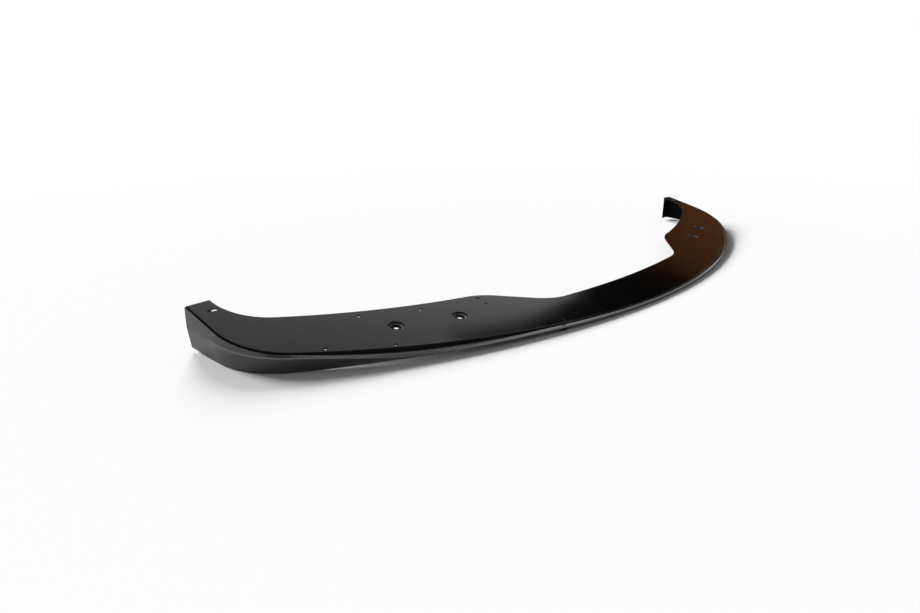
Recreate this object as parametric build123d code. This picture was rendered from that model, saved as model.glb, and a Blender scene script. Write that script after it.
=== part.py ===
from build123d import *
import os
from math import atan, cos, degrees, radians, sin

# Front splitter lip: one moulded shell, 1.77 m wide, lying with its nose and corners on the ground.
# X runs across, Y from the nose to the rear, Z up. Lengths in millimetres, angles in degrees.

# Rim line in plan, the flange's outer edge: each half is a broad arc, a corner arc and a straight tail
front_radius = 1517.0
front_sweep = 32.2
corner_radius = 142.0
corner_sweep = 54.7
tail_length = 92.0

# Height of the flange's top: it climbs to the rear, more steeply at the ends than in the middle
nose_height = 9.2
middle_slope = 0.139
end_slope = 0.249
end_fall = 37.0

# Rear edge of the flange in plan: shallow waist, slanted step, long arc, round corner and tip strip
waist_depth = 103.8
waist_radius = 2597.0
waist_half_width = 276.0
step_half_width = 395.0
step_depth = 216.0
rear_radius = 1434.0
tip_strip_width = 40.0
tip_strip_length = 72.0
tip_strip_lean = 4.0
tip_setback = 1.5
waist_corner_radius = 125.0
step_corner_radius = 130.0
inner_corner_radius = 112.0

# Shell, and the groove at the foot of the web that steps down from the flange to the blade
shell = 3.0
groove_width = 3.6
groove_depth = 1.2
web_width = 2.0
web_lap = 1.0
web_top = 0.9
web_root = 2.0
blade_facet = 2.0

# Blade section at six stations along the rim line: nose, bow, shoulder, corner start, corner end, tip
bow_distance = 360.0
shoulder_distance = 660.0
step_drop = (1.5, 2.5, 6.0, 2.8, 2.0, 1.0)
ledge_width = (6.0, 10.5, 21.0, 12.0, 7.0, 5.0)
ledge_drop = (2.7, 4.7, 9.4, 5.4, 19.0, 36.0)
foot_offset = (6.0, 8.5, 7.5, 0.0, 0.0, 1.0)
foot_height = (0.0, 5.0, 4.8, 0.0, 1.5, 6.0)

# Upright return that closes the end of each tip, set in from the strip's end, with a notch beside the web
return_setback = 0.8
return_lift = 2.0
return_margin = 0.4
notch_width = 5.0
notch_depth = 8.0

# Dished screw seats of one half, each outward from the step's corner and forward from the rear arc
dish_places = ((224.0, 67.0), (101.0, 66.0))
dish_radius = 14.5
dish_seat_radius = 9.5
dish_depth = 3.5
dish_hole_radius = 5.0

# Plain holes and pin holes of one half, placed the same way
rear_hole_places = ((258.0, 18.0), (147.0, 20.0), (16.0, 15.0))
rear_hole_radius = 3.5
pin_hole_places = ((20.0, 41.0),)
pin_hole_radius = 2.5

# Row of small holes close behind the rim line
rim_hole_first = 344.0
rim_hole_pitch = 114.0
rim_hole_count = 5
rim_hole_inset = 8.0
rim_hole_radius = 3.0

# Clip slot in each tip strip
slot_from_tip = 33.0
slot_inset = 26.5
slot_length = 20.0
slot_width = 8.0

# Locating tab under the blade on each side
tab_distance = 357.0
tab_width = 16.0
tab_clearance = 0.6

# Loft spacing
front_steps = 9
corner_steps = 5
tail_steps = 2
flange_steps = 7
cut_margin = 30.0

front_length = radians(front_sweep) * front_radius
corner_length = radians(corner_sweep) * corner_radius
rim_length = front_length + corner_length + tail_length
stations = (0.0, bow_distance, shoulder_distance, front_length, front_length + corner_length, rim_length)


def rim_point(distance):
    """Plan point of the rim line and its heading, at a distance from the middle along one half."""
    on_front = min(distance, front_length) / front_radius
    x = front_radius * sin(on_front)
    y = front_radius * (1 - cos(on_front))
    on_corner = min(max(distance - front_length, 0.0), corner_length) / corner_radius
    heading = on_front + on_corner
    x += corner_radius * (sin(heading) - sin(on_front))
    y += corner_radius * (cos(on_front) - cos(heading))
    on_tail = max(distance - front_length - corner_length, 0.0)
    return x + on_tail * cos(heading), y + on_tail * sin(heading), heading


half_width = rim_point(rim_length)[0]


def flange_slope(x):
    """Climb of the flange to the rear at a distance from the middle."""
    return middle_slope + (end_slope - middle_slope) * (x / half_width) ** 2


def flange_height(x, y):
    """Height of the flange's top over the ground."""
    return nose_height - end_fall * abs(x / half_width) ** 3 + flange_slope(x) * y


def along_rim(values, distance):
    """Smooth value at a distance along the rim, from its values at the six stations."""
    gaps = [b - a for a, b in zip(stations, stations[1:])]
    climbs = [(b - a) / gap for a, b, gap in zip(values, values[1:], gaps)]
    slopes = [0.0] + [(a + b) / 2 for a, b in zip(climbs, climbs[1:])] + [climbs[-1]]
    k = sum(distance >= s for s in stations[1:-1])
    t = (distance - stations[k]) / gaps[k]
    start = values[k] + (values[k + 1] - values[k]) * t * t * (3 - 2 * t)
    return start + gaps[k] * t * (1 - t) * ((1 - t) * slopes[k] - t * slopes[k + 1])


def inner_side(start, end):
    """Unit vector from a run of the outer skin into the shell, with the run taken outwards and down."""
    run = (Vector(*end) - Vector(*start)).normalized()
    return Vector(run.Y, -run.X)


def toward(start, end, length):
    """Point at a length from one section point to another."""
    point = Vector(*start) + (Vector(*end) - Vector(*start)).normalized() * length
    return point.X, point.Y


def inset(corner, before, after):
    """Inner skin's corner, one shell thickness in from the runs before and after an outer corner."""
    step = (before + after) / (1 + before.dot(after)) * shell
    return corner[0] + step.X, corner[1] + step.Y


def band_section(signed_distance):
    """Closed section across the rim: web under the flange's edge, groove, ledge, wall and inner skin."""
    distance = abs(signed_distance)
    side = -1 if signed_distance < 0 else 1
    x, y, heading = rim_point(distance)
    out_x, out_y = sin(heading), -cos(heading)
    height = flange_height(x, y)
    lip = height - along_rim(step_drop, distance)
    rim = (groove_width, lip)
    edge = (along_rim(ledge_width, distance), height - along_rim(ledge_drop, distance))
    foot = (along_rim(foot_offset, distance), along_rim(foot_height, distance))
    ledge_in, wall_in = inner_side(rim, edge), inner_side(edge, foot)
    points = [
        (-web_width, height - web_top),
        (web_lap, height - web_top),
        (web_lap, lip - groove_depth),
        (groove_width, lip - groove_depth),
        rim,
        toward(edge, rim, blade_facet),
        toward(edge, foot, blade_facet),
        foot,
        (foot[0] + shell / wall_in.X, foot[1]),
        inset(edge, ledge_in, wall_in),
        inset(rim, Vector(0, -1), ledge_in),
        (-web_width, lip - groove_depth - web_root),
    ]
    plane = Plane((side * x, y, 0), x_dir=(side * out_x, out_y, 0), z_dir=(out_y, -side * out_x, 0))
    return plane * make_face(Polyline(*points, close=True))


def band():
    """Blade and side walls in one sweep from tip to tip."""
    half = [front_length * k / front_steps for k in range(1, front_steps + 1)]
    half += [front_length + corner_length * k / corner_steps for k in range(1, corner_steps + 1)]
    half += [front_length + corner_length + tail_length * k / tail_steps for k in range(1, tail_steps + 1)]
    return loft([band_section(s) for s in [-s for s in reversed(half)] + [0.0] + half])


def behind_rim(distance, inset_from_rim):
    """Plan point behind the rim line, at a distance along it."""
    x, y, heading = rim_point(distance)
    return x - inset_from_rim * sin(heading), y + inset_from_rim * cos(heading)


def rear_arc_ends():
    """Plan corners at the two ends of the rear arc: at the step and at the tip strip."""
    strip_x, strip_y = behind_rim(rim_length - tip_setback, tip_strip_width)
    lean = radians(tip_strip_lean)
    inner_corner = Vector(strip_x - tip_strip_length * sin(lean), strip_y - tip_strip_length * cos(lean))
    return Vector(step_half_width, step_depth), inner_corner


def from_rear(outward, forward):
    """Plan point outward from the step's corner and forward from the rear arc."""
    step_end, inner_corner = rear_arc_ends()
    chord = inner_corner - step_end
    reach = (rear_radius**2 - chord.length**2 / 4) ** 0.5
    centre = (step_end + inner_corner) / 2 + Vector(-chord.Y, chord.X).normalized() * reach
    x = step_half_width + outward
    return x, centre.Y - (rear_radius**2 - (x - centre.X) ** 2) ** 0.5 - forward


def flange_outline():
    """Plan of one half of the flange, from the rim line to the rear edge."""
    rim_tip = rim_point(rim_length - tip_setback)
    waist_rise = waist_radius - (waist_radius**2 - waist_half_width**2) ** 0.5
    waist_end = Vector(waist_half_width, waist_depth + waist_rise)
    step_end, inner_corner = rear_arc_ends()
    strip_tip = behind_rim(rim_length - tip_setback, tip_strip_width)
    corner_start, corner_end = rim_point(front_length), rim_point(front_length + corner_length)
    outline = make_face([
        RadiusArc((0, 0), corner_start[:2], -front_radius),
        RadiusArc(corner_start[:2], corner_end[:2], -corner_radius),
        Polyline(corner_end[:2], rim_tip[:2], strip_tip, inner_corner),
        RadiusArc(inner_corner, step_end, rear_radius),
        Line(step_end, waist_end),
        RadiusArc(waist_end, (0, waist_depth), waist_radius),
        Line((0, waist_depth), (0, 0)),
    ])
    for corner, radius in (
        (waist_end, waist_corner_radius),
        (step_end, step_corner_radius),
        (inner_corner, inner_corner_radius),
    ):
        outline = fillet(outline.vertices().sort_by_distance(corner)[0], radius)
    return outline


def flange():
    """Curved flange plate, cut to its plan."""
    far = rim_point(rim_length)[1] + cut_margin
    sections = []
    for k in range(-flange_steps, flange_steps + 1):
        x = (half_width + cut_margin) * k / flange_steps
        low, high = flange_height(x, -cut_margin), flange_height(x, far)
        corners = [(-cut_margin, low), (far, high), (far, high - shell), (-cut_margin, low - shell)]
        across = Plane((x, 0, 0), x_dir=(0, 1, 0), z_dir=(1, 0, 0))
        sections.append(across * make_face(Polyline(*corners, close=True)))
    half = flange_outline()
    whole = half + mirror(half, Plane.YZ)
    return loft(sections) & extrude(whole, 2 * end_slope * far, both=True)


def on_flange(x, y):
    """Location on the flange's top, with Z straight up."""
    return Pos(x, y, flange_height(x, y))


def square_to_flange(x, y):
    """Location on the flange's top, with Z leaned forward by the flange's climb."""
    return on_flange(x, y) * Rot(degrees(atan(flange_slope(x))), 0, 0)


def cone(low_radius, high_radius, low, high):
    """Cone along Z from one height to another."""
    return Pos(0, 0, (low + high) / 2) * Cone(low_radius, high_radius, high - low)


def half_hole_cutters():
    """Holes of one half: dished seats, plain holes, pin holes, the row behind the rim and the clip slot."""
    flare = (dish_radius - dish_seat_radius) / dish_depth
    dish = cone(dish_seat_radius, dish_radius + flare * shell, -dish_depth, shell)
    screw = Pos(0, 0, -dish_depth) * Cylinder(dish_hole_radius, 4 * shell)
    seats = [square_to_flange(*from_rear(*place)) for place in dish_places]
    cutters = [seat * tool for seat in seats for tool in (dish, screw)]
    row = [behind_rim(rim_hole_first + k * rim_hole_pitch, rim_hole_inset) for k in range(rim_hole_count)]
    for places, radius in (
        ([from_rear(*place) for place in rear_hole_places], rear_hole_radius),
        ([from_rear(*place) for place in pin_hole_places], pin_hole_radius),
        (row, rim_hole_radius),
    ):
        cutters += [on_flange(*place) * Cylinder(radius, 4 * shell) for place in places]
    slot = extrude(SlotOverall(slot_length, slot_width), 2 * shell, both=True)
    cutters.append(on_flange(*behind_rim(rim_length - slot_from_tip, slot_inset)) * slot)
    return cutters


def half_cups():
    """Cups under the flange that carry the dished seats of one half."""
    cup = cone(dish_seat_radius + shell, dish_radius + shell, -dish_depth - shell, -shell / 2)
    return [square_to_flange(*from_rear(*place)) * cup for place in dish_places]


def half_end_return():
    """Upright return at one tip, from inside the strip down to the wall's foot."""
    distance = rim_length - tip_setback - return_setback
    x, y, heading = rim_point(distance)
    inner = return_margin - tip_strip_width
    inner_place = behind_rim(distance, -inner)
    height = flange_height(x, y)
    foot = along_rim(foot_height, distance) + return_lift
    points = [
        (inner, flange_height(*inner_place) - shell / 2),
        (-notch_width, height - shell / 2),
        (-notch_width, height - notch_depth),
        (groove_width - shell / 2, height - notch_depth),
        (along_rim(ledge_width, distance) - shell / 2, height - along_rim(ledge_drop, distance)),
        (along_rim(foot_offset, distance) - shell / 2, foot),
        (inner, foot),
    ]
    out_x, out_y = sin(heading), -cos(heading)
    plane = Plane((x, y, 0), x_dir=(out_x, out_y, 0), z_dir=(out_y, -out_x, 0))
    return extrude(plane * make_face(Polyline(*points, close=True)), shell)


def half_tab():
    """Small round tab that hangs from the blade's foot on one half."""
    x, y, heading = rim_point(tab_distance)
    offset = along_rim(foot_offset, tab_distance) - shell
    foot = along_rim(foot_height, tab_distance)
    plane = Plane(
        (x + offset * sin(heading), y - offset * cos(heading), 0),
        x_dir=(cos(heading), sin(heading), 0),
        z_dir=(sin(heading), -cos(heading), 0),
    )
    outline = SlotOverall(tab_width, 2 * foot) if tab_width > 2 * foot else Circle(foot)
    return plane * Pos(0, foot + tab_clearance) * extrude(outline, shell / 2, both=True)


def both_sides(solids):
    """The solids and their mirror images."""
    return solids + [mirror(solid, Plane.YZ) for solid in solids]


def front_lip():
    """The whole lip, with its origin under the middle of its box."""
    plate = flange() + both_sides(half_cups())
    plate -= both_sides(half_hole_cutters())
    lip = plate + band() + both_sides([half_end_return(), half_tab()])
    box = lip.bounding_box()
    return Pos(0, -box.center().Y, -box.min.Z) * lip


os.makedirs("parts", exist_ok=True)
export_step(front_lip(), "parts/front_lip.step")
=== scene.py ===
"""Front splitter lip: fine shells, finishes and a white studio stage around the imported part."""
from math import radians

import bpy
import numpy as np
from bpy.props import FloatProperty, FloatVectorProperty, IntProperty, PointerProperty
from bpy.types import Operator, Panel, PropertyGroup
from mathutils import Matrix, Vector
from mathutils.geometry import delaunay_2d_cdt


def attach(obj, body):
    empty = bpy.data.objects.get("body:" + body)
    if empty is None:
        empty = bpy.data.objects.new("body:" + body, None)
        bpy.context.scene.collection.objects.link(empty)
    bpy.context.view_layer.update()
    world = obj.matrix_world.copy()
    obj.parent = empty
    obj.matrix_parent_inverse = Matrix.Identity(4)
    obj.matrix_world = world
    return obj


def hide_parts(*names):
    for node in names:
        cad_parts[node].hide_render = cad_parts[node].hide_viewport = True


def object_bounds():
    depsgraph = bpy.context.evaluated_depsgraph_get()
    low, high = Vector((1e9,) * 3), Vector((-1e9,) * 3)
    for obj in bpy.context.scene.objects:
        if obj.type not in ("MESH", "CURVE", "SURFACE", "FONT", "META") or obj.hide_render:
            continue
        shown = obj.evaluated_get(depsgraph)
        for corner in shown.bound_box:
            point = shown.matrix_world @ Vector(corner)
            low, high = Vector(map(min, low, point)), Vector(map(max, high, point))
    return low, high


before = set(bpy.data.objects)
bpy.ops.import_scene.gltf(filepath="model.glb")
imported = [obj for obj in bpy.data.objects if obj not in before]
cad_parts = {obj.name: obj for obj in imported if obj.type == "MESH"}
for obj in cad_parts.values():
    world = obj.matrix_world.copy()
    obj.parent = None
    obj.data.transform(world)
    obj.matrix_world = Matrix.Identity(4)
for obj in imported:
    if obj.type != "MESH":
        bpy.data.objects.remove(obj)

bl_info = {
    "name": "Front splitter lip",
    "version": (1, 0, 0),
    "blender": (4, 5, 0),
    "location": "3D View > Sidebar > Splitter",
    "description": "Builds the lip's flange, blade, tabs and tip returns over its solid, and a white stage",
    "category": "Object",
}

CAD_BOX = [list(corner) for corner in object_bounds()]
MM = 0.001

# Places of the holes on one half, in metres outward from the step's corner and forward from the rear arc.
DISH_PLACES = np.array(((224, 67), (101, 66))) * MM
HOLE_PLACES = np.array(((258, 18), (147, 20), (16, 15))) * MM
PIN_PLACES = np.array(((20, 41),)) * MM

# Distance from the wall's foot in to the tab's inner face, in shells.
TAB_INSET = 1.5

# Finishes of the blade's faces, and at each corner of its section, from the web over the ledge to the inner
# side: the round in shares of the edge round, and the finish there and on the run after it.
# The last finish is a pale colour on the blade's edge facet, which is a painted highlight.
INNER_SIDE, SILKY_WALL, GLOSSY_LEDGE, PAINTED_EDGE_HIGHLIGHT = range(4)
BLADE_ROUNDS = (0.5, 1.0, 0.4, 0.4, 0.6, 0.7, 1.2, 1.0, 1.0, 0.6, 0.6, 0.5)
BLADE_FINISHES = 4 * (INNER_SIDE,) + (GLOSSY_LEDGE, PAINTED_EDGE_HIGHLIGHT, SILKY_WALL, SILKY_WALL) + 4 * (INNER_SIDE,)

# Finishes of the flange's faces: the top's skin, the inner side, and a pale grey on some of the cuts, which
# is bare laminate and a painted highlight.
SKIN, INSIDE, BARE_AND_HIGHLIGHT = range(3)

# Softened edges of the flange, in shares of the edge round: points out of the plate and over its top, and the
# depth at which a plain edge meets its wall.
PLAIN_EDGE = ((-1.0, 0.0), (-0.3, -0.1), (0.0, -0.6))
DISH_BROW = ((-2.0, 0.0), (-0.8, -0.15), (0.4, -0.9))
EDGE_TURN = -PLAIN_EDGE[-1][1]

# Flat strip between the flange's faces and each softened edge, which keeps the faces' shading flat.
SUPPORT = 0.6 * MM

# Fineness of the meshes: points on the rim's front arc, corner and tail, on a corner of the blade's section,
# on the flange's straight edges and round its holes, and the step and the fewest points on its arcs.
BLADE_RUNS = (170, 60, 20)
FLANGE_RUNS = (180, 50, 18)
CORNER_POINTS = 4
TIP_POINTS, STRIP_POINTS, STEP_POINTS = 9, 6, 12
DISH_POINTS, HOLE_POINTS, PIN_POINTS, SLOT_POINTS = 56, 40, 32, 24
ARC_STEP, ARC_LEAST = 5 * MM, 6

# Grid of points in the flange: its step, the share of it left clear at each edge, the batches in which that
# is measured, and the distance within which points become one.
GRID_STEP = 12 * MM
GRID_CLEARANCE = 0.45
GRID_BATCHES = 12
WELD = 1e-7

# Edges that turn by more than this are shaded as sharp.
SHARP_ANGLE = radians(32)

# Name of the pieces' UV map, the places of the colour sockets on a mix node, and plain white.
UV_NAME = "weave"
MIX_COLOURS, MIX_RESULT = (6, 7), 2
WHITE = (1.0, 1.0, 1.0)

# Clouds in the laminate: scale, detail, the range of the noise in use, and their shares in colour and gloss.
CLOUD_SCALE, CLOUD_DETAIL = 9.0, 4.0
CLOUD_RANGE = (0.3, 0.7)
CLOUD_COLOUR = (0.7, 1.4)
CLOUD_GLOSS = (0.8, 1.2)

# Fine grain of the laminate: detail, share in the gloss, height, and each skin's own scale and strength.
GRAIN_DETAIL = 2.0
GRAIN_GLOSS = 0.1
GRAIN_HEIGHT = 0.4 * MM
GRAIN = {
    "satin_flange": (900.0, 0.05),
    "silky_wall": (700.0, 0.05),
    "matt_inside": (420.0, 0.15),
    "bare_and_highlight_laminate": (500.0, 0.2),
}

# Twill weave: tows in a repeat, tows on top, the tone at a tow's border, bump strength and tow height.
TWILL_REPEAT, TWILL_OVER = 4.0, 2.0
TOW_BORDER = 0.4
TOW_BUMP = 0.2
TOW_HEIGHT = 0.3 * MM

# Patches of the painted highlight along the blade's edge: their scale, and its strength where it is least.
PATCH_SCALE = 30.0
PATCH_LEAST = 0.6

# Cards that only reflections see. The upright ones stand beside the part, with corners behind the rim's nose
# and over the ground, and the shade card a gap before the others. The grey one lies overhead, drawn in plan.
CARD_PLANE, CARD_GAP = 3.0, 0.02
DARK_CARD = ((0.5, 1.1), (1.6, 1.1), (1.8, 1.82), (2.1, 2.42), (2.4, 2.85), (2.95, 3.5), (2.6, 3.6),
             (1.5, 2.4), (0.5, 2.3))
WARM_CARD = ((0.5, 0.3), (1.3, 0.3), (1.7, 1.1), (0.5, 1.1))
SHADE_CARD = ((1.085, 0.5), (1.4, 0.5), (1.4, 0.74), (1.085, 0.74))
GREY_CARD = ((-1.5, -1.5), (1.6, -1.5), (1.6, 1.95), (-1.5, 1.95))
GREY_HEIGHT = 3.0

# Floor: half its width, where its painted shade near the part starts and ends to whiten, roughness. Camera:
# sensor width, far limit.
FLOOR_REACH = 60.0
FLOOR_NEAR, FLOOR_FAR = 0.8, 3.0
FLOOR_ROUGHNESS = 0.9
SENSOR_WIDTH = 36.0
FAR_LIMIT = 200.0


# Properties.

def length(label, text, millimetres):
    """A length property, given in millimetres and kept in metres."""
    return FloatProperty(name=label, description=text, default=millimetres * MM, unit="LENGTH", precision=4)


def lengths(label, text, millimetres):
    """Lengths for the stations along the rim, given in millimetres and kept in metres."""
    values = tuple(v * MM for v in millimetres)
    return FloatVectorProperty(name=label, description=text, default=values, size=len(values),
                               unit="LENGTH", precision=4)


def angle(label, text, degrees):
    """An angle property, given in degrees."""
    return FloatProperty(name=label, description=text, default=radians(degrees), subtype="ANGLE")


def factor(label, text, value):
    """A plain number between 0 and 1."""
    return FloatProperty(name=label, description=text, default=value, min=0, max=1, subtype="FACTOR")


def colour(label, text, value):
    """A linear colour."""
    return FloatVectorProperty(name=label, description=text, default=value, size=3, min=0, max=1,
                               subtype="COLOR")


class LipShape(PropertyGroup):
    """Sizes of the lip's outline, flange and blade."""

    front_radius: length("Front radius", "Radius of the broad front arc of the rim", 1517)
    front_sweep: angle("Front sweep", "Turn of the front arc on one half", 32.2)
    corner_radius: length("Corner radius", "Radius of the rim's corner", 142)
    corner_sweep: angle("Corner sweep", "Turn of the corner arc", 54.7)
    tail_length: length("Tail", "Straight run from the corner to the tip", 92)
    nose_height: length("Nose height", "Top of the flange over the ground at the nose", 9.2)
    middle_slope: factor("Middle slope", "Climb of the flange to the rear in the middle", 0.139)
    end_slope: factor("End slope", "Climb of the flange to the rear at the ends", 0.249)
    end_fall: length("End fall", "Fall of the flange's nose line at the ends", 37)
    waist_depth: length("Waist depth", "Flange's depth in the middle", 103.8)
    waist_radius: length("Waist radius", "Radius of the rear edge in the middle", 2597)
    waist_half_width: length("Waist half width", "End of the waist from the middle", 276)
    step_half_width: length("Step half width", "End of the slanted step from the middle", 395)
    step_depth: length("Step depth", "End of the slanted step from the nose", 216)
    rear_radius: length("Rear radius", "Radius of the wing's rear edge", 1434)
    inner_corner_radius: length("Inner corner radius", "Round of the inner corner", 112)
    waist_corner_radius: length("Waist corner radius", "Round between waist and step", 125)
    step_corner_radius: length("Step corner radius", "Round between step and wing", 130)
    tip_strip_width: length("Tip strip", "Width of the strip at the tip", 40)
    tip_strip_length: length("Tip strip length", "Strip's inner edge from its tip to the rear arc", 72)
    tip_strip_lean: angle("Tip strip lean", "Lean of the strip's inner edge from straight ahead", 4)
    tip_setback: length("Tip setback", "Strip's end in from the wall's end", 1.5)
    shell: length("Shell", "Thickness of the shell", 3)
    groove_width: length("Groove width", "Width of the groove behind the blade", 3.6)
    groove_depth: length("Groove depth", "Depth of the groove", 1.2)
    web_width: length("Web width", "Reach of the web under the flange", 2)
    web_lap: length("Web lap", "Reach of the web past the rim", 1)
    web_top: length("Web top", "Top of the web below the flange's top", 0.9)
    web_root: length("Web root", "Thickness under the groove", 2)
    blade_facet: length("Blade facet", "Cut along each side of the blade's edge", 2)
    edge_round: length("Edge round", "Softening of the moulded edges", 0.5)
    bow_distance: length("Bow station", "Second station from the middle along the rim", 360)
    shoulder_distance: length("Shoulder station", "Third station from the middle along the rim", 660)
    step_drop: lengths("Step drop", "Groove's lip below the flange", (1.5, 2.5, 6, 2.8, 2, 1))
    ledge_width: lengths("Ledge width", "Reach of the blade's edge past the rim", (6, 10.5, 21, 12, 7, 5))
    ledge_drop: lengths("Ledge drop", "Blade's edge below the flange", (2.7, 4.7, 9.4, 5.4, 19, 36))
    foot_offset: lengths("Foot offset", "Foot of the wall past the rim", (6, 8.5, 7.5, 0, 0, 1))
    foot_height: lengths("Foot height", "Foot of the wall over the ground", (0, 5, 4.8, 0, 1.5, 6))


class LipHoles(PropertyGroup):
    """Sizes of the seats, holes, slots, tabs and tip returns."""

    dish_radius: length("Dish radius", "Radius of the dished seat at the flange", 14.5)
    seat_radius: length("Seat radius", "Radius of the dish's flat seat", 9.5)
    dish_depth: length("Dish depth", "Depth of the seat under the flange", 3.5)
    dish_hole_radius: length("Dish hole radius", "Radius of the hole in the seat", 5)
    hole_radius: length("Hole radius", "Radius of the plain screw holes", 3.5)
    pin_radius: length("Pin hole radius", "Radius of the pin holes", 2.5)
    row_radius: length("Row hole radius", "Radius of the holes behind the rim", 3)
    row_first: length("Row start", "First hole of the row from the middle", 344)
    row_pitch: length("Row pitch", "Pitch of the row along the rim", 114)
    row_count: IntProperty(name="Row count", description="Holes in the row on one half", default=5, min=1)
    row_inset: length("Row inset", "Row's distance behind the rim", 8)
    slot_from_tip: length("Slot from tip", "Slot's middle from the tip along the rim", 33)
    slot_inset: length("Slot inset", "Slot's middle behind the rim", 26.5)
    slot_length: length("Slot length", "Length of the tip slot", 20)
    slot_width: length("Slot width", "Width of the tip slot", 8)
    tab_distance: length("Tab distance", "Tab's middle from the nose along the rim", 357)
    tab_width: length("Tab width", "Width of the tab", 16)
    tab_clearance: length("Tab clearance", "Tab's lowest point over the ground", 0.6)
    return_setback: length("Return setback", "Tip return's rear face in from the strip's end", 0.8)
    return_lift: length("Return lift", "Tip return's lower edge over the wall's foot", 2)
    return_margin: length("Return margin", "Tip return's inner edge in from the strip's edge", 0.4)
    notch_width: length("Notch width", "Width of the return's notch behind the rim", 5)
    notch_depth: length("Notch depth", "Depth of the return's notch below the flange", 8)


class LipFinish(PropertyGroup):
    """Colours and gloss of the black laminate."""

    black: colour("Black", "Colour of the satin flange", (0.0020, 0.0020, 0.0021))
    wall_black: colour("Wall black", "Colour of the silky walls", (0.0140, 0.0140, 0.0142))
    matt_black: colour("Matt black", "Colour of the hidden inner side", (0.0040, 0.0040, 0.0042))
    # Pale grey at the cut seats and slots: bare laminate and a painted highlight.
    bare_and_highlight_grey: colour("Bare grey", "Colour of the laminate at the cut seats and slots", (0.16, 0.16, 0.16))
    # The blade's edge colour is a painted highlight, paler than the wall.
    edge_highlight_grey: colour("Edge grey", "Colour of the blade's rubbed edge", (0.14, 0.135, 0.13))
    tow_light: colour("Light tow", "Colour of the weave's raised tows", (0.0300, 0.0305, 0.0315))
    tow_dark: colour("Dark tow", "Colour of the weave's sunk tows", (0.0015, 0.0015, 0.0015))
    tow_pitch: length("Tow pitch", "Width of one tow of the weave", 2.6)
    tow_roughness: factor("Tow roughness", "Roughness of the weave under its clear coat", 0.35)
    satin: factor("Satin roughness", "Roughness of the flange", 0.11)
    satin_shine: factor("Satin shine", "Specular level of the flange", 0.24)
    silk: factor("Silk roughness", "Roughness of the walls", 0.5)
    silk_shine: factor("Silk shine", "Specular level of the walls", 0.75)
    gloss: factor("Gloss roughness", "Roughness of the ledge's clear coat", 0.06)
    coat: factor("Clear coat", "Weight of the ledge's clear coat in the middle", 1.0)
    coat_least: factor("Thin clear coat", "Weight of the clear coat towards the ends", 0.2)
    coat_index: FloatProperty(name="Coat index", description="Refractive index of the clear coat",
                              default=2.2, min=1)
    coat_full: length("Full coat", "Distance along the rim up to which the clear coat is whole", 300)
    coat_thin: length("Thin coat", "Distance along the rim from which the clear coat is thin", 620)
    coat_fade: length("Coat fade", "Run over which the clear coat and the weave fade out", 60)
    coat_end: length("Coat end", "Distance along the rim where the clear coat and the weave end", 930)
    # The painted edge highlight fades out between these two distances along the rim.
    edge_fade: length("Edge fade", "Distance along the rim where the rubbed edge starts to fade", 930)
    edge_end: length("Edge end", "Distance along the rim where the rubbed edge has faded out", 1020)
    matt: factor("Matt roughness", "Roughness of the inner side", 0.55)
    matt_shine: factor("Matt shine", "Specular level of the inner side", 0.07)


class LipStage(PropertyGroup):
    """Floor, cards, light and camera."""

    # The floor's slight grey near the part is painted shade.
    floor: colour("Floor", "Colour of the floor near the part", (0.975, 0.975, 0.975))
    fill: factor("Fill", "Share of the light that comes from all round", 0.16)
    light_side: angle("Light side", "Each rear light's turn from straight behind to its own side", 20)
    light_height: angle("Light height", "Height of the rear lights above level", 25)
    light_width: angle("Light width", "Angle across each rear light", 24)
    dark_card: colour("Dark card", "Colour of the dark card that the flange mirrors", (0.0, 0.0, 0.0))
    grey_card: colour("Grey card", "Colour of the overhead card that the ledge mirrors", (0.3, 0.3, 0.3))
    warm_card: colour("Warm card", "Colour of the warm card that the far wing mirrors", (0.19, 0.066, 0.02))
    shade_card: colour("Shade card", "Colour of the card that the far tip mirrors", (0.045, 0.043, 0.037))
    eye: FloatVectorProperty(name="Camera", description="Camera's place from the nose, over the ground",
                             default=(-1.24367, -0.55598, 0.40045), unit="LENGTH", precision=4)
    turn: angle("Camera turn", "Camera's turn about the upright, to the right from straight ahead", 45.825)
    dip: angle("Camera dip", "Camera's tilt below level", 18.587)
    lens: FloatProperty(name="Lens", description="Focal length", default=23.478, unit="CAMERA")


def settings(name):
    """One of the lip's property groups in the scene."""
    return getattr(bpy.context.scene, "lip_" + name)


# Shape formulas, in metres from the rim's nose and over the ground.

def stations(shape):
    """The six named places along the rim: nose, bow, shoulder, corner's start, corner's end, tip."""
    front = shape.front_sweep * shape.front_radius
    corner = front + shape.corner_sweep * shape.corner_radius
    tip = corner + shape.tail_length
    return np.array((0, shape.bow_distance, shape.shoulder_distance, front, corner, tip))


def rim_point(shape, distance):
    """Plan place and heading of the rim: a front arc, then a corner arc, then a straight tail."""
    front, corner = stations(shape)[3:5]
    on_front = np.minimum(distance, front) / shape.front_radius
    heading = on_front + np.clip(distance - front, 0, corner - front) / shape.corner_radius
    x = shape.front_radius * np.sin(on_front) + shape.corner_radius * (np.sin(heading) - np.sin(on_front))
    y = (shape.front_radius * (1 - np.cos(on_front))
         + shape.corner_radius * (np.cos(on_front) - np.cos(heading)))
    tail = np.maximum(distance - corner, 0)
    return x + tail * np.cos(heading), y + tail * np.sin(heading), heading


def rim_vectors(shape, distance):
    """Plan vectors of length one at a place of the rim: along it to the tip, and out of it."""
    heading = rim_point(shape, distance)[2]
    along = np.array((np.cos(heading), np.sin(heading)))
    return along, np.array((along[1], -along[0]))


def beside_rim(shape, distance, reach):
    """Plan points at a reach out of the rim, square to it, or behind the rim where the reach is negative."""
    x, y, heading = rim_point(shape, distance)
    return np.stack((x + reach * np.sin(heading), y - reach * np.cos(heading)), axis=-1)


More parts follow.
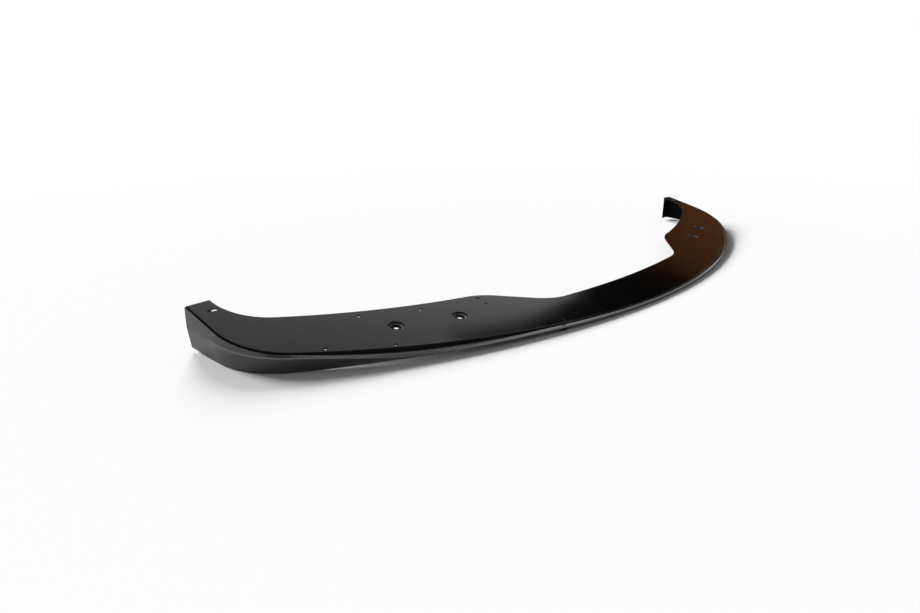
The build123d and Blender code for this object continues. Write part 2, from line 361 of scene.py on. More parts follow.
def rim_distances(shape, counts, setback=0.0):
    """Distances from the nose to the tip, less a setback, in even steps on front arc, corner and tail."""
    front, corner, tip = stations(shape)[3:]
    runs = zip((0, front, corner), (front, corner, tip - setback), counts)
    return np.concatenate(((0,), *(np.linspace(*run)[1:] for run in runs)))


def strip_corner(shape):
    """Plan place where the tip strip's end meets its inner edge."""
    return beside_rim(shape, stations(shape)[-1] - shape.tip_setback, -shape.tip_strip_width)


def flange_height(shape, x, y):
    """Height of the flange: the nose height, less a cubic fall to the ends, plus a climb to the rear.

    The climb grows with the square of the distance from the middle.
    """
    across = np.abs(x) / rim_point(shape, stations(shape)[-1])[0]
    climb = shape.middle_slope + (shape.end_slope - shape.middle_slope) * across**2
    return shape.nose_height - shape.end_fall * across**3 + climb * y


def along_rim(shape, values, distance):
    """Smooth curve through the station values: cubic pieces that share the mean climb at each station."""
    at, values = stations(shape), np.array(values)
    gaps = np.diff(at)
    climbs = np.diff(values) / gaps
    slopes = np.concatenate(((0,), (climbs[1:] + climbs[:-1]) / 2, climbs[-1:]))
    k = np.clip(np.searchsorted(at, distance, side="right") - 1, 0, len(gaps) - 1)
    t = (distance - at[k]) / gaps[k]
    ramp = values[k] + (values[k + 1] - values[k]) * t * t * (3 - 2 * t)
    return ramp + gaps[k] * t * (1 - t) * ((1 - t) * slopes[k] - t * slopes[k + 1])


def unit(vectors):
    """Vectors of length one, along the last axis."""
    return vectors / np.linalg.norm(vectors, axis=-1, keepdims=True)


def blade_corners(shape, distance):
    """Corners of the blade's closed section at each distance, as reach past the rim and height.

    The inner corners lie one shell inside the ledge and the wall, on the mitre of the runs that meet there.
    """
    height = flange_height(shape, *rim_point(shape, distance)[:2])

    def point(reach, level):
        return np.stack(np.broadcast_arrays(reach, level), axis=-1) + np.zeros((len(distance), 2))

    def inward(start, end):
        run = unit(end - start)
        return np.stack((run[:, 1], -run[:, 0]), axis=-1)

    def inset(corner, before, after):
        return corner + shape.shell * (before + after) / (1 + np.sum(before * after, axis=1, keepdims=True))

    lip = height - along_rim(shape, shape.step_drop, distance)
    rim = point(shape.groove_width, lip)
    edge_height = height - along_rim(shape, shape.ledge_drop, distance)
    edge = point(along_rim(shape, shape.ledge_width, distance), edge_height)
    foot_height = along_rim(shape, shape.foot_height, distance)
    foot = point(along_rim(shape, shape.foot_offset, distance), foot_height)
    down = point(0, -1)
    ledge_in, wall_in = inward(rim, edge), inward(edge, foot)
    return np.stack((
        point(-shape.web_width, height - shape.web_top),
        point(shape.web_lap, height - shape.web_top),
        point(shape.web_lap, lip - shape.groove_depth),
        point(shape.groove_width, lip - shape.groove_depth),
        rim,
        edge + unit(rim - edge) * shape.blade_facet,
        edge + unit(foot - edge) * shape.blade_facet,
        foot,
        foot + np.stack((shape.shell / wall_in[:, 0], 0 * height), axis=-1),
        inset(edge, ledge_in, wall_in),
        inset(rim, down, ledge_in),
        point(-shape.web_width, lip - shape.groove_depth - shape.web_root),
    ), axis=1)


def rounded(corners, rounds):
    """Closed sections with each corner drawn as a parabola between points one round along both runs."""
    before = np.roll(corners, 1, axis=1) - corners
    after = np.roll(corners, -1, axis=1) - corners
    reach = rounds[None, :, None]
    start = (corners + unit(before) * reach)[:, :, None]
    end = (corners + unit(after) * reach)[:, :, None]
    t = np.linspace(0, 1, CORNER_POINTS)[None, None, :, None]
    curve = (1 - t) ** 2 * start + 2 * t * (1 - t) * corners[:, :, None] + t**2 * end
    return curve.reshape(len(corners), -1, 2)


# Mesh pieces.

def quads(index):
    """Faces between the rows of a grid of point numbers that closes on itself along its columns."""
    ahead = np.roll(index, -1, axis=1)
    return np.stack((index[:-1], index[1:], ahead[1:], ahead[:-1]), axis=-1).reshape(-1, 4)


def tube_faces(rows, columns):
    """Faces of a tube of points, rows along it and columns round it, with a cap on each end."""
    index = np.arange(rows * columns).reshape(rows, columns)
    return quads(index).tolist() + [index[0].tolist(), index[-1, ::-1].tolist()]


def placed(points):
    """Points moved from the rim's nose on the ground into the part's own frame."""
    shape = settings("shape")
    low, high = np.array(CAD_BOX)
    lift = high[2] - flange_height(shape, *strip_corner(shape))
    return points + np.array((0, low[1] + shape.ledge_width[0], lift))


def make_piece(name, points, faces, materials, uv, zones=None):
    """Adds a mesh object in the part's frame that stands for the solid, with its faces outward."""
    mesh = bpy.data.meshes.new(name)
    mesh.from_pydata(placed(points).tolist(), [], faces)
    mesh.update()
    mesh.calc_loop_triangles()
    loops = np.zeros(len(mesh.loops), dtype=np.int32)
    mesh.loops.foreach_get("vertex_index", loops)
    layer = mesh.uv_layers.new(name=UV_NAME)
    layer.data.foreach_set("uv", np.ascontiguousarray(uv[loops], dtype=np.float32).ravel())
    corners = np.zeros(len(mesh.loop_triangles) * 3, dtype=np.int32)
    mesh.loop_triangles.foreach_get("vertices", corners)
    a, b, c = np.moveaxis(points[corners.reshape(-1, 3)], 1, 0)
    if np.einsum("ij,ij->i", a, np.cross(b, c)).sum() < 0:
        mesh.flip_normals()
    mesh.shade_smooth()
    mesh.set_sharp_from_angle(angle=SHARP_ANGLE)
    mesh.validate()
    piece = bpy.data.objects.new(name, mesh)
    for material in materials:
        mesh.materials.append(material)
    if zones is not None:
        mesh.polygons.foreach_set("material_index", zones.astype(np.int32))
    bpy.context.scene.collection.objects.link(piece)
    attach(piece, "root")
    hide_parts("front_lip")


def blade():
    """The blade: its rounded section carried along the rim, mirrored on the left, with both ends capped."""
    shape, finish = settings("shape"), settings("finish")
    half = rim_distances(shape, BLADE_RUNS)
    signed = np.concatenate((-half[:0:-1], half))
    distance, side = np.abs(signed), np.where(signed < 0, -1.0, 1.0)
    section = rounded(blade_corners(shape, distance), shape.edge_round * np.array(BLADE_ROUNDS))
    reach, level = section[..., 0], section[..., 1]
    plan = beside_rim(shape, distance[:, None], reach)
    points = np.stack((side[:, None] * plan[..., 0], plan[..., 1], level), axis=-1)
    run = np.linalg.norm(np.diff(section, axis=1, prepend=section[:, :1]), axis=-1).cumsum(axis=1)
    uv = np.stack(np.broadcast_arrays(signed[:, None], run), axis=-1)
    strips = np.tile(np.repeat(BLADE_FINISHES, CORNER_POINTS), len(signed) - 1)
    zones = np.append(strips, (SILKY_WALL, SILKY_WALL))
    materials = (skin("matt_inside"), skin("silky_wall"), gloss_laminate(finish), painted_edge_highlight(finish))
    make_piece("blade", points.reshape(-1, 3), tube_faces(*level.shape), materials, uv.reshape(-1, 2), zones)


def arc(centre, radius, start, end):
    """Points on a circle from one place to another, the short way round."""
    a, b = (np.arctan2(*(np.array(p) - centre)[::-1]) for p in (start, end))
    b += 2 * np.pi * round((a - b) / (2 * np.pi))
    turn = np.linspace(a, b, max(int(abs(b - a) * radius / ARC_STEP), ARC_LEAST))
    return np.array(centre) + radius * np.stack((np.cos(turn), np.sin(turn)), axis=-1)


def fillet(centre, radius, corner, along, bend, size):
    """Round between a circle and a line at their corner: its centre, and where it meets circle and line.

    The centre lies at the round's size from both, on the side of the bend.
    """
    normal = np.array((-along[1], along[0])) * bend
    foot = corner + normal * size - centre
    reach = radius - bend * size
    drift = foot @ along
    root = np.sqrt(drift**2 - foot @ foot + reach**2)
    shift = min((-drift - root, -drift + root), key=abs)
    middle = centre + foot + along * shift
    return middle, centre + unit(middle - centre) * radius, middle - normal * size


def rear_arc(shape):
    """Ends and centre of the wing's rear arc in plan, from the step to the tip strip's inner edge."""
    lean = np.array((np.sin(shape.tip_strip_lean), np.cos(shape.tip_strip_lean)))
    start = np.array((shape.step_half_width, shape.step_depth))
    end = strip_corner(shape) - shape.tip_strip_length * lean
    chord = end - start
    half = np.linalg.norm(chord) / 2
    rise = np.sqrt(shape.rear_radius**2 - half**2)
    return start, end, start + chord / 2 + unit(np.array((-chord[1], chord[0]))) * rise


def from_rear(shape, places):
    """Plan points given outward from the step's corner and forward from the rear arc."""
    start, _, centre = rear_arc(shape)
    x = start[0] + places[:, 0]
    rear = centre[1] - np.sqrt(shape.rear_radius**2 - (x - centre[0]) ** 2)
    return np.stack((x, rear - places[:, 1]), axis=-1)


def outline(shape):
    """Plan of the flange as one closed loop: rim, tips and the rear edge with its rounded corners."""
    rim = beside_rim(shape, rim_distances(shape, FLANGE_RUNS, shape.tip_setback), 0)
    strip = strip_corner(shape)
    step, corner, rear_centre = rear_arc(shape)
    waist_centre = np.array((0, shape.waist_depth + shape.waist_radius))
    drop = np.sqrt(shape.waist_radius**2 - shape.waist_half_width**2)
    waist = np.array((shape.waist_half_width, waist_centre[1] - drop))
    slant, edge = unit(step - waist), unit(strip - corner)
    waist_round, waist_end, slant_start = fillet(
        waist_centre, shape.waist_radius, waist, slant, 1, shape.waist_corner_radius)
    step_round, rear_start, slant_end = fillet(
        rear_centre, shape.rear_radius, step, slant, -1, shape.step_corner_radius)
    inner_round, rear_end, edge_start = fillet(
        rear_centre, shape.rear_radius, corner, edge, 1, shape.inner_corner_radius)
    half_loop = np.concatenate((
        rim,
        np.linspace(rim[-1], strip, TIP_POINTS)[1:],
        np.linspace(strip, edge_start, STRIP_POINTS)[1:-1],
        arc(inner_round, shape.inner_corner_radius, edge_start, rear_end),
        arc(rear_centre, shape.rear_radius, rear_end, rear_start)[1:-1],
        arc(step_round, shape.step_corner_radius, rear_start, slant_end),
        np.linspace(slant_end, slant_start, STEP_POINTS)[1:-1],
        arc(waist_round, shape.waist_corner_radius, slant_start, waist_end),
        arc(waist_centre, shape.waist_radius, waist_end, (0, shape.waist_depth))[1:],
    ))
    mirrored = half_loop[-2:0:-1] * (-1, 1)
    return np.concatenate((half_loop, mirrored))


def circle(place, radius, count):
    """Closed loop of a round hole, run clockwise."""
    turn = -np.arange(count) * 2 * np.pi / count
    return np.array(place) + radius * np.stack((np.cos(turn), np.sin(turn)), axis=-1)


def slot_loop(place, long, wide):
    """Closed loop of a slot: two half circles joined by straight runs, run clockwise."""
    turn = np.linspace(np.pi / 2, -np.pi / 2, SLOT_POINTS)
    end = np.stack(((long - wide) / 2 + wide / 2 * np.cos(turn), wide / 2 * np.sin(turn)), axis=-1)
    return np.array(place) + np.concatenate((end, -end))


def loop_normals(loop):
    """Mitred normals of a closed loop, to the right of its run: out of the plate at outline and holes."""
    run = unit(np.roll(loop, -1, axis=0) - loop)
    right = np.stack((run[:, 1], -run[:, 0]), axis=-1)
    both = right + np.roll(right, 1, axis=0)
    return 2 * both / np.sum(both**2, axis=1, keepdims=True)


def inside(points, loop):
    """Which points lie in a closed loop: those whose ray to the right crosses it an odd number of times."""
    a, b = loop, np.roll(loop, -1, axis=0)
    x, y = points[:, :1], points[:, 1:]
    spans = (a[:, 1] > y) != (b[:, 1] > y)
    with np.errstate(divide="ignore", invalid="ignore"):
        crossing = a[:, 0] + (y - a[:, 1]) * (b[:, 0] - a[:, 0]) / (b[:, 1] - a[:, 1])
    return np.sum(spans & (x < crossing), axis=1) % 2 == 1


def in_plate(points, rings):
    """Which plan points lie in the first ring and in none of the others."""
    keep = inside(points, rings[0])
    for ring in rings[1:]:
        keep &= ~inside(points, ring)
    return keep


def supported(profile):
    """An edge profile with a flat strip added before its first point and after its last one."""
    strip = np.array(((SUPPORT, 0, 0),))
    return np.concatenate((profile[:1] - strip, profile, profile[-1:] - strip))


def plain_profile(soft, deep, wall):
    """Edge profile of a plain cut, top to underside: reach out of the plate, level from its top, finish."""
    above = soft * np.array(PLAIN_EDGE)
    below = (above * (1, -1) - (0, deep))[::-1]
    finishes = (SKIN, SKIN, wall, INSIDE, INSIDE, INSIDE)
    return np.column_stack((np.concatenate((above, below)), finishes))


def dish_profile(soft, deep, holes):
    """Edge profile of a dished seat: sloped wall, pale grey in its lower half as bare laminate and painted
    highlight, flat seat, hole and underside.
    """
    seat = holes.dish_radius - holes.seat_radius
    hole = holes.dish_radius - holes.dish_hole_radius
    low, lowest = -holes.dish_depth, -holes.dish_depth - deep
    turn = EDGE_TURN * soft
    start, shoulder, brow = soft * np.array(DISH_BROW)
    sole = np.array((seat - soft, low + turn))
    return np.array((
        (*start, SKIN),
        (*shoulder, SKIN),
        (*brow, INSIDE),
        (*(brow + sole) / 2, BARE_AND_HIGHLIGHT),
        (*sole, INSIDE),
        (seat + soft, low, INSIDE),
        (hole - soft, low, INSIDE),
        (hole, low - turn, INSIDE),
        (hole, lowest + turn, INSIDE),
        (hole - soft, lowest, INSIDE),
        (seat - deep, lowest, INSIDE),
        (-deep, -deep - soft, INSIDE),
        (-deep - 2 * soft, -deep, INSIDE),
    ))


def flange_loops(shape, holes):
    """The flange's closed loops, the outline first, each with its edge profile from top to underside."""
    soft, deep = shape.edge_round, shape.shell
    plain = plain_profile(soft, deep, INSIDE)
    # The slot's cut walls are pale grey: bare laminate and a painted highlight.
    cut = plain_profile(soft, deep, BARE_AND_HIGHLIGHT)
    dish = dish_profile(soft, deep, holes)
    row_distances = holes.row_first + holes.row_pitch * np.arange(holes.row_count)
    row = beside_rim(shape, row_distances, -holes.row_inset)
    slot = beside_rim(shape, stations(shape)[-1] - holes.slot_from_tip, -holes.slot_inset)
    half = [(circle(p, holes.dish_radius, DISH_POINTS), dish) for p in from_rear(shape, DISH_PLACES)]
    half += [(circle(p, holes.hole_radius, HOLE_POINTS), plain) for p in from_rear(shape, HOLE_PLACES)]
    half += [(circle(p, holes.pin_radius, PIN_POINTS), plain) for p in from_rear(shape, PIN_PLACES)]
    half += [(circle(p, holes.row_radius, PIN_POINTS), plain) for p in row]
    half.append((slot_loop(slot, holes.slot_length, holes.slot_width), cut))
    half = [(loop, supported(profile)) for loop, profile in half]
    mirrored = [(loop[::-1] * (-1, 1), profile) for loop, profile in half]
    return [(outline(shape), supported(plain))] + half + mirrored


def plate_grid(rings):
    """Even grid of plan points inside the plate, clear of every ring by a share of its step."""
    spans = zip(rings[0].min(axis=0), rings[0].max(axis=0))
    lines = [np.arange(low, high, GRID_STEP) for low, high in spans]
    grid = np.stack(np.meshgrid(*lines), axis=-1).reshape(-1, 2)
    grid = grid[in_plate(grid, rings)]
    border = np.concatenate(rings)
    nearest = [np.linalg.norm(batch[:, None] - border, axis=-1).min(axis=1)
               for batch in np.array_split(grid, GRID_BATCHES)]
    return grid[np.concatenate(nearest) > GRID_CLEARANCE * GRID_STEP]


def plate_triangles(plan, rings):
    """Triangles over the plan points, rings first, that lie between the rings, all turned one way."""
    numbers = np.split(np.arange(sum(map(len, rings))), np.cumsum([len(ring) for ring in rings])[:-1])
    edges = np.concatenate([np.stack((ring, np.roll(ring, -1)), axis=-1) for ring in numbers])
    _, _, found, sources, _, _ = delaunay_2d_cdt(list(map(Vector, plan)), edges.tolist(), [], 0, WELD)
    triangles = np.array([ids[0] for ids in sources])[np.array(found)]
    triangles = triangles[in_plate(plan[triangles].mean(axis=1), rings)]
    a, b, c = np.moveaxis(plan[triangles], 1, 0)
    turned = np.cross(b - a, c - a) < 0
    triangles[turned] = triangles[turned][:, ::-1]
    return triangles


def flange():
    """The flange: a triangulated plan at the formula's height, a copy below, and soft edges on all loops."""
    shape, holes = settings("shape"), settings("holes")
    loops = [(loop, loop_normals(loop), profile) for loop, profile in flange_loops(shape, holes)]
    rings = [loop + normals * profile[0, 0] for loop, normals, profile in loops]
    plan = np.concatenate((*rings, plate_grid(rings)))
    triangles = plate_triangles(plan, rings)
    count, under = len(plan), plan.copy()
    flat = [plan, under]
    levels = [np.zeros(count), np.full(count, -shape.shell)]
    faces = triangles.tolist() + (triangles[:, ::-1] + count).tolist()
    zones = [np.full(len(triangles), SKIN), np.full(len(triangles), INSIDE)]
    start, total = 0, 2 * count
    for loop, normals, profile in loops:
        size, between = len(loop), profile[1:-1]
        top = np.arange(start, start + size)
        edge = total + np.arange(len(between) * size).reshape(-1, size)
        under[top] = loop + normals * profile[-1, 0]
        flat.append((loop + normals * between[:, :1, None]).reshape(-1, 2))
        levels.append(np.repeat(between[:, 1], size))
        faces += quads(np.vstack((top, edge, top + count))).tolist()
        zones.append(np.repeat(profile[:-1, 2], size))
        start, total = start + size, total + edge.size
    flat = np.concatenate(flat)
    points = np.column_stack((flat, flange_height(shape, *flat.T) + np.concatenate(levels)))
    materials = (skin("satin_flange"), skin("matt_inside"), skin("bare_and_highlight_laminate"))
    make_piece("flange", points, faces, materials, flat, np.concatenate(zones))


def slab(name, loop, origin, along, through, thick, side):
    """A flat upright plate: a clockwise loop carried through its thickness, with soft rims and both caps."""
    soft = settings("shape").edge_round
    layers = np.array(((0, soft), (soft, 0), (thick - soft, 0), (thick, soft)))
    deep, inset = layers[:, 0, None, None], layers[:, 1, None, None]
    flat = loop + loop_normals(loop) * inset
    plan = origin + flat[..., :1] * along + deep * through
    points = np.concatenate((plan * (side, 1), flat[..., 1:]), axis=-1)
    materials = (skin("matt_inside"),)
    make_piece(name, points.reshape(-1, 3), tube_faces(*flat.shape[:2]), materials, flat.reshape(-1, 2))


def tab(name, side):
    """A tab under the blade: a stadium outline at the wall's foot, through its thickness."""
    shape, holes = settings("shape"), settings("holes")
    at = holes.tab_distance
    along, out = rim_vectors(shape, at)
    foot = along_rim(shape, shape.foot_height, at)
    reach = along_rim(shape, shape.foot_offset, at) - TAB_INSET * shape.shell
    loop = slot_loop((0, foot + holes.tab_clearance), holes.tab_width, 2 * foot)
    slab(name, loop, beside_rim(shape, at, reach), along, out, shape.shell, side)


def end_return(name, side):
    """An upright return at the tip: its outline runs under the strip, past a notch, down and back."""
    shape, holes = settings("shape"), settings("holes")
    at = stations(shape)[-1] - shape.tip_setback - holes.return_setback
    along, out = rim_vectors(shape, at)
    place = beside_rim(shape, at, 0)
    inner = holes.return_margin - shape.tip_strip_width
    height = flange_height(shape, *place)
    inner_height = flange_height(shape, *beside_rim(shape, at, inner))
    foot = along_rim(shape, shape.foot_height, at) + holes.return_lift
    half = shape.shell / 2
    loop = np.array((
        (inner, inner_height - half),
        (-holes.notch_width, height - half),
        (-holes.notch_width, height - holes.notch_depth),
        (shape.groove_width - half, height - holes.notch_depth),
        (along_rim(shape, shape.ledge_width, at) - half, height - along_rim(shape, shape.ledge_drop, at)),
        (along_rim(shape, shape.foot_offset, at) - half, foot),
        (inner, foot),
    ))
    slab(name, loop, place, out, -along, shape.shell, side)


# Finishes.

class Nodes:
    """Small helper that adds and links the nodes of one material or world."""

    def __init__(self, owner):
        owner.use_nodes = True
        self.owner = owner
        self.tree = owner.node_tree

    def put(self, socket, value):
        """Links an input to a socket, or sets it to a number or a colour."""
        if isinstance(value, bpy.types.NodeSocket):
            self.tree.links.new(value, socket)
        else:
            socket.default_value = (*value, 1) if socket.type == "RGBA" else value

    def add(self, kind, **values):
        """A node with its settings; a key that is no setting names an input."""
        node = self.tree.nodes.new(kind)
        for key, value in values.items():
            if hasattr(node, key):
                setattr(node, key, value)
            else:
                self.put(node.inputs[key], value)
        return node

    def shade(self, name, value):
        """Sets or links one input of the material's shader."""
        self.put(self.tree.nodes["Principled BSDF"].inputs[name], value)

    def place(self):
        """Place on the piece in its own coordinates."""
        return self.add("ShaderNodeTexCoord").outputs["Object"]

    def rim_place(self):
        """Place on the blade from its UV map: distance along the rim and run round the section."""
        uv = self.add("ShaderNodeUVMap", uv_map=UV_NAME).outputs["UV"]
        parts = self.add("ShaderNodeSeparateXYZ", Vector=uv).outputs
        return parts["X"], parts["Y"]

    def math(self, operation, *values):
        """The result of one calculation on sockets or numbers."""
        node = self.add("ShaderNodeMath", operation=operation)
        for socket, value in zip(node.inputs, values):
            self.put(socket, value)
        return node.outputs[0]

    def ramp(self, source, low, high, first, last):
        """A value moved from one range to another and clamped."""
        node = self.add("ShaderNodeMapRange")
        for socket, value in zip(node.inputs, (source, low, high, first, last)):
            self.put(socket, value)
        return node.outputs[0]

    def noise(self, vector, scale, detail):
        """Soft noise over a vector."""
        return self.add("ShaderNodeTexNoise", Vector=vector, Scale=scale, Detail=detail).outputs["Fac"]

    def mix(self, share, first, second):
        """A colour between two."""
        node = self.add("ShaderNodeMix", data_type="RGBA", Factor=share)
        for place, value in zip(MIX_COLOURS, (first, second)):
            self.put(node.inputs[place], value)
        return node.outputs[MIX_RESULT]


def twill(nodes, first, second, pitch):
    """Weave over two coordinates: 1 where the warp lies on top, in steps of a tow, and the tow's height."""
    a, b = nodes.math("DIVIDE", first, pitch), nodes.math("DIVIDE", second, pitch)
    steps = nodes.math("ADD", nodes.math("FLOOR", a), nodes.math("FLOOR", b))
    over = nodes.math("LESS_THAN", nodes.math("FLOORED_MODULO", steps, TWILL_REPEAT), TWILL_OVER)
    dome_a = nodes.math("SINE", nodes.math("MULTIPLY", nodes.math("FRACT", a), np.pi))
    dome_b = nodes.math("SINE", nodes.math("MULTIPLY", nodes.math("FRACT", b), np.pi))
    dome = nodes.math("ADD", nodes.math("MULTIPLY", over, dome_a),
                      nodes.math("MULTIPLY", nodes.math("SUBTRACT", 1.0, over), dome_b))
    return over, dome


def laminate(name, base, rough, shine, grain_scale, grain_strength):
    """Plain skin: clouds in its colour and gloss, and a fine grain in its gloss and height."""
    nodes = Nodes(bpy.data.materials.new(name))
    place = nodes.place()
    clouds = nodes.noise(place, CLOUD_SCALE, CLOUD_DETAIL)
    grain = nodes.noise(place, grain_scale, GRAIN_DETAIL)
    nodes.shade("Base Color", nodes.mix(clouds, *(np.array(base) * share for share in CLOUD_COLOUR)))
    gloss = nodes.ramp(clouds, *CLOUD_RANGE, *(rough * share for share in CLOUD_GLOSS))
    nodes.shade("Roughness", nodes.math("ADD", gloss, nodes.math("MULTIPLY", grain, rough * GRAIN_GLOSS)))
    bump = nodes.add("ShaderNodeBump", Strength=grain_strength, Distance=GRAIN_HEIGHT, Height=grain)
    nodes.shade("Normal", bump.outputs["Normal"])
    nodes.shade("Specular IOR Level", shine)
    return nodes.owner


def skin(name):
    """One of the plain skins, made once."""
    finish = settings("finish")
    looks = {
        "satin_flange": (finish.black, finish.satin, finish.satin_shine),
        "silky_wall": (finish.wall_black, finish.silk, finish.silk_shine),
        "matt_inside": (finish.matt_black, finish.matt, finish.matt_shine),
        "bare_and_highlight_laminate": (finish.bare_and_highlight_grey, finish.matt, finish.matt_shine),
    }
    return bpy.data.materials.get(name) or laminate(name, *looks[name], *GRAIN[name])


def gloss_laminate(finish):
    """Glossy ledge of the blade: a clear coat over a twill weave, both fading out on the side walls."""
    nodes = Nodes(bpy.data.materials.new("gloss_laminate"))
    along, round_section = nodes.rim_place()
    over, dome = twill(nodes, along, round_section, finish.tow_pitch)
    outward = nodes.math("ABSOLUTE", along)
    coated = nodes.ramp(outward, finish.coat_end - finish.coat_fade, finish.coat_end, 1.0, 0.0)
    light = nodes.math("MULTIPLY", over, nodes.ramp(dome, 0.0, 1.0, TOW_BORDER, 1.0))
    weave = nodes.mix(light, finish.tow_dark, finish.tow_light)
    nodes.shade("Base Color", nodes.mix(coated, finish.wall_black, weave))
    nodes.shade("Roughness", nodes.ramp(coated, 0.0, 1.0, finish.silk, finish.tow_roughness))
    strength = nodes.ramp(coated, 0.0, 1.0, 0.0, TOW_BUMP)
    bump = nodes.add("ShaderNodeBump", Strength=strength, Distance=TOW_HEIGHT, Height=dome)
    nodes.shade("Normal", bump.outputs["Normal"])
    thin = nodes.ramp(outward, finish.coat_full, finish.coat_thin, finish.coat, finish.coat_least)
    nodes.shade("Coat Weight", nodes.math("MULTIPLY", coated, thin))
    nodes.shade("Coat Roughness", finish.gloss)
    nodes.shade("Coat IOR", finish.coat_index)
    nodes.shade("Specular IOR Level", nodes.ramp(coated, 0.0, 1.0, finish.silk_shine, finish.satin_shine))
    return nodes.owner


def painted_edge_highlight(finish):
    """Painted highlight along the blade's edge: paler than the wall, in uneven patches, and fading into it on
    the tails.
    """
    nodes = Nodes(bpy.data.materials.new("painted_edge_highlight"))
    outward = nodes.math("ABSOLUTE", nodes.rim_place()[0])
    patches = nodes.noise(nodes.place(), PATCH_SCALE, CLOUD_DETAIL)
    highlit = nodes.math("MULTIPLY", nodes.ramp(patches, *CLOUD_RANGE, PATCH_LEAST, 1.0),
                        nodes.ramp(outward, finish.edge_fade, finish.edge_end, 1.0, 0.0))
    nodes.shade("Base Color", nodes.mix(highlit, finish.wall_black, finish.edge_highlight_grey))
    gloss = nodes.ramp(patches, *CLOUD_RANGE, *(finish.silk * share for share in CLOUD_GLOSS))
    nodes.shade("Roughness", gloss)
    nodes.shade("Specular IOR Level", finish.silk_shine)
    return nodes.owner


def floor_finish(stage):
    """Floor with a slight painted shade near the part, which whitens away from it."""
    nodes = Nodes(bpy.data.materials.new("studio_floor"))
    away = nodes.add("ShaderNodeVectorMath", operation="LENGTH", Vector=nodes.place()).outputs["Value"]
    whiter = nodes.ramp(away, FLOOR_NEAR, FLOOR_FAR, 0.0, 1.0)
    nodes.shade("Base Color", nodes.mix(whiter, stage.floor, WHITE))
    nodes.shade("Roughness", FLOOR_ROUGHNESS)
    nodes.shade("Specular IOR Level", 0.0)
    return nodes.owner


def card_finish(name, value):
    """Matt card that gives off its own colour, so that a mirror image of it keeps that tone."""
    nodes = Nodes(bpy.data.materials.new(name))
    nodes.tree.nodes.remove(nodes.tree.nodes["Principled BSDF"])
    glow = nodes.add("ShaderNodeEmission", Color=value)
    nodes.put(nodes.tree.nodes["Material Output"].inputs["Surface"], glow.outputs[0])
    return nodes.owner


# Stage.

def white_surround(stage):
    """World that lights the part softly all round, and is plain white to the camera and in reflections."""
    nodes = Nodes(bpy.data.worlds.new("white_surround"))
    fill = nodes.tree.nodes["Background"]
    nodes.put(fill.inputs["Color"], WHITE)
    nodes.put(fill.inputs["Strength"], stage.fill)
    white = nodes.add("ShaderNodeBackground", Color=WHITE)
    rays = nodes.add("ShaderNodeLightPath").outputs
    seen = nodes.math("MAXIMUM", rays["Is Camera Ray"], rays["Is Glossy Ray"])
    seen = nodes.math("MAXIMUM", seen, rays["Is Transmission Ray"])
    choice = nodes.add("ShaderNodeMixShader")
    for socket, value in zip(choice.inputs, (seen, fill.outputs[0], white.outputs[0])):
        nodes.put(socket, value)
    nodes.put(nodes.tree.nodes["World Output"].inputs["Surface"], choice.outputs[0])
    bpy.context.scene.world = nodes.owner


def rear_lights(stage):
    """Two soft lights behind the part, one to each side, which share what the fill leaves of the light."""
    for name, side in (("rear_light_left", 1), ("rear_light_right", -1)):
        lamp = bpy.data.lights.new(name, "SUN")
        lamp.angle = stage.light_width
        lamp.energy = np.pi * (1 - stage.fill) / np.sin(stage.light_height) / 2
        rear = bpy.data.objects.new(name, lamp)
        rear.rotation_euler = (radians(90) - stage.light_height, 0, radians(180) + side * stage.light_side)
        rear.visible_glossy = False
        bpy.context.scene.collection.objects.link(rear)


def stage_sheet(name, corners, material):
    """One flat face of the stage."""
    mesh = bpy.data.meshes.new(name)
    mesh.from_pydata(corners, [], [list(range(len(corners)))])
    mesh.materials.append(material)
    sheet = bpy.data.objects.new(name, mesh)
    bpy.context.scene.collection.objects.link(sheet)
    return sheet


def studio_floor(stage):
    """The broad square floor."""
    corners = [(x * FLOOR_REACH, y * FLOOR_REACH, 0) for x, y in ((-1, -1), (1, -1), (1, 1), (-1, 1))]
    stage_sheet("studio_floor", corners, floor_finish(stage))


def reflection_cards(stage):
    """The cards that the part mirrors, which neither the camera nor the light sees."""
    nose = float(placed(np.zeros((1, 3)))[0, 1])
    cards = {
        "dark_card": [(CARD_PLANE, nose + y, z) for y, z in DARK_CARD],
        "warm_card": [(CARD_PLANE, nose + y, z) for y, z in WARM_CARD],
        "shade_card": [(CARD_PLANE - CARD_GAP, nose + y, z) for y, z in SHADE_CARD],
        "grey_card": [(x, y, GREY_HEIGHT) for x, y in GREY_CARD],
    }
    for name, corners in cards.items():
        card = stage_sheet(name, corners, card_finish(name, getattr(stage, name)))
        card.visible_camera = False
        card.visible_shadow = False
        card.visible_diffuse = False


def camera(stage):
    """The camera, at the photograph's place and angle."""
    lens = bpy.data.cameras.new("camera")
    lens.sensor_width = SENSOR_WIDTH
    lens.lens = stage.lens
    lens.clip_end = FAR_LIMIT
    eye = bpy.data.objects.new("camera", lens)
    eye.location = placed(np.array([stage.eye]))[0]
    eye.rotation_euler = (radians(90) - stage.dip, 0, -stage.turn)
    bpy.context.scene.collection.objects.link(eye)
    bpy.context.scene.camera = eye


# Operators and panel.

class LIP_OT_flange(Operator):
    """Builds the flange plate with its seats, holes and slots"""

    bl_idname = "lip.flange"
    bl_label = "Flange"

    def execute(self, context):
        flange()
        return {"FINISHED"}


class LIP_OT_blade(Operator):
    """Builds the blade and side walls in one sweep"""

    bl_idname = "lip.blade"
    bl_label = "Blade"

    def execute(self, context):
        blade()
        return {"FINISHED"}


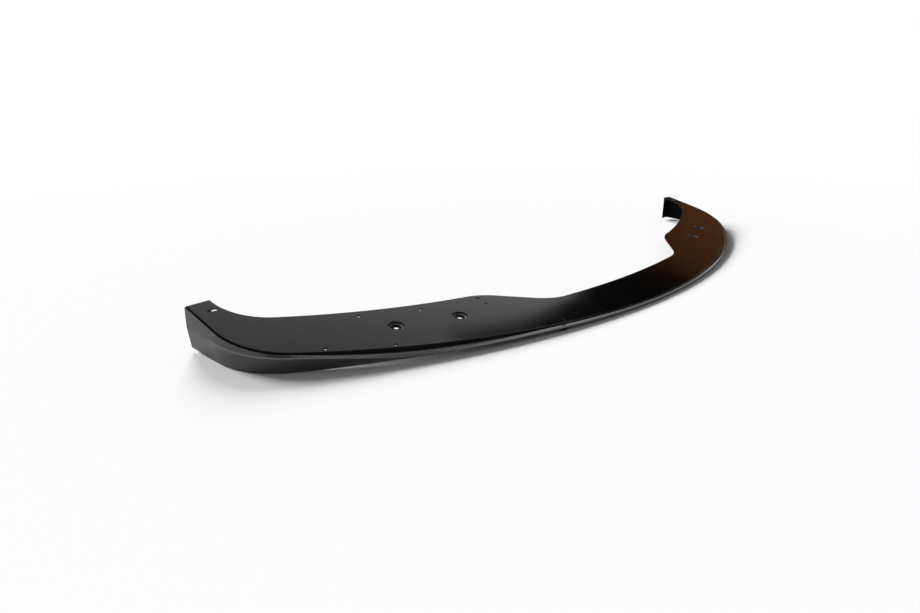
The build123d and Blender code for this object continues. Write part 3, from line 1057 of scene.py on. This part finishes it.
class LIP_OT_tabs(Operator):
    """Builds the two tabs under the blade"""

    bl_idname = "lip.tabs"
    bl_label = "Tabs"

    def execute(self, context):
        tab("tab_left", -1)
        tab("tab_right", 1)
        return {"FINISHED"}


class LIP_OT_returns(Operator):
    """Builds the upright returns at the two tips"""

    bl_idname = "lip.returns"
    bl_label = "Tip returns"

    def execute(self, context):
        end_return("return_left", -1)
        end_return("return_right", 1)
        return {"FINISHED"}


class LIP_OT_stage(Operator):
    """Builds the surround, rear lights, floor, reflection cards and camera"""

    bl_idname = "lip.stage"
    bl_label = "Stage"

    def execute(self, context):
        context.scene.view_settings.view_transform = "Standard"
        stage = settings("stage")
        for build in (white_surround, rear_lights, studio_floor, reflection_cards, camera):
            build(stage)
        return {"FINISHED"}


class LIP_PT_panel(Panel):
    """Sizes, finishes and operators of the lip"""

    bl_idname = "LIP_PT_panel"
    bl_label = "Front splitter lip"
    bl_space_type = "VIEW_3D"
    bl_region_type = "UI"
    bl_category = "Splitter"

    def draw(self, context):
        for operator in OPERATORS:
            self.layout.operator(operator.bl_idname)
        for name in GROUPS:
            group = settings(name)
            box = self.layout.box()
            for key in group.bl_rna.properties.keys():
                if key not in ("rna_type", "name"):
                    box.prop(group, key)


OPERATORS = (LIP_OT_flange, LIP_OT_blade, LIP_OT_tabs, LIP_OT_returns, LIP_OT_stage)
GROUPS = {"shape": LipShape, "holes": LipHoles, "finish": LipFinish, "stage": LipStage}
CLASSES = (*GROUPS.values(), *OPERATORS, LIP_PT_panel)


def register():
    """Registers the classes and hangs the property groups on the scene."""
    for entry in CLASSES:
        bpy.utils.register_class(entry)
    for name, group in GROUPS.items():
        setattr(bpy.types.Scene, "lip_" + name, PointerProperty(type=group))


def unregister():
    """Takes the property groups and classes away again."""
    for name in GROUPS:
        delattr(bpy.types.Scene, "lip_" + name)
    for entry in reversed(CLASSES):
        bpy.utils.unregister_class(entry)


def main():
    """Builds the pieces and the stage."""
    register()
    bpy.ops.lip.flange()
    bpy.ops.lip.blade()
    bpy.ops.lip.tabs()
    bpy.ops.lip.returns()
    bpy.ops.lip.stage()


if __name__ == "__main__":
    main()
